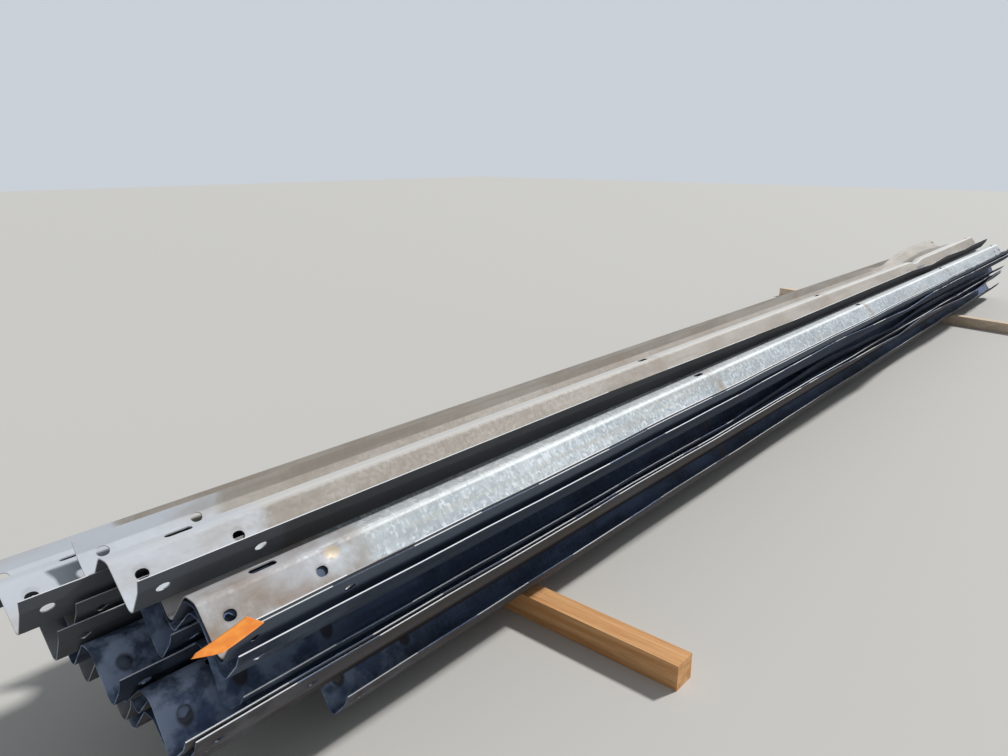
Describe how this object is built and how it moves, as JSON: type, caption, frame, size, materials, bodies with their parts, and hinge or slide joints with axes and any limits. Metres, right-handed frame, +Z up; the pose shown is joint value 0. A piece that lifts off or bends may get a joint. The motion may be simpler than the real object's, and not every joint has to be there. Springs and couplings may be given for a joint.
{
  "type": "stack of used highway guardrail sections",
  "caption": "Weathered pile of galvanized W-beam highway guardrail sections nested open side up on squared timber bearers, with a lot tag.",
  "frame": {"origin": "middle of the footprint at the underside of the timber bearers", "axes": "+X along the rails from their near ends to their far ends, +Y from the front edge to the back of the pile, +Z up"},
  "size_m": [8.467, 2.1282, 0.5925],
  "materials": {
    "zinc_bright": "spangled hot-dip zinc, still bright",
    "zinc_weathered": "weathered zinc, warm grey with rust stains",
    "zinc_dull": "dull grey zinc with dust",
    "timber": "rough sawn, orange-brown",
    "tag_paper": "faded orange paper"
  },
  "bodies": {
    "root": {"rail_top_front": "zinc_bright", "rail_nested_upper": "zinc_dull", "rail_nested_lower": "zinc_dull", "rail_top_middle": "zinc_weathered", "rail_top_back": "zinc_weathered", "rail_second_back": "zinc_dull", "rail_second_middle": "zinc_dull", "rail_third_back": "zinc_dull", "rail_third_front": "zinc_dull", "rail_third_middle": "zinc_dull", "rail_fourth_front": "zinc_dull", "rail_fifth_front": "zinc_dull", "rail_fourth_back": "zinc_dull", "rail_sixth_front": "zinc_dull", "rail_bottom_front": "zinc_dull", "rail_bottom_back": "zinc_dull", "rail_leaning_back": "zinc_dull", "bearer_near": "timber", "bearer_far": "timber", "lot_tag": "tag_paper"}
  },
  "joints": []
}
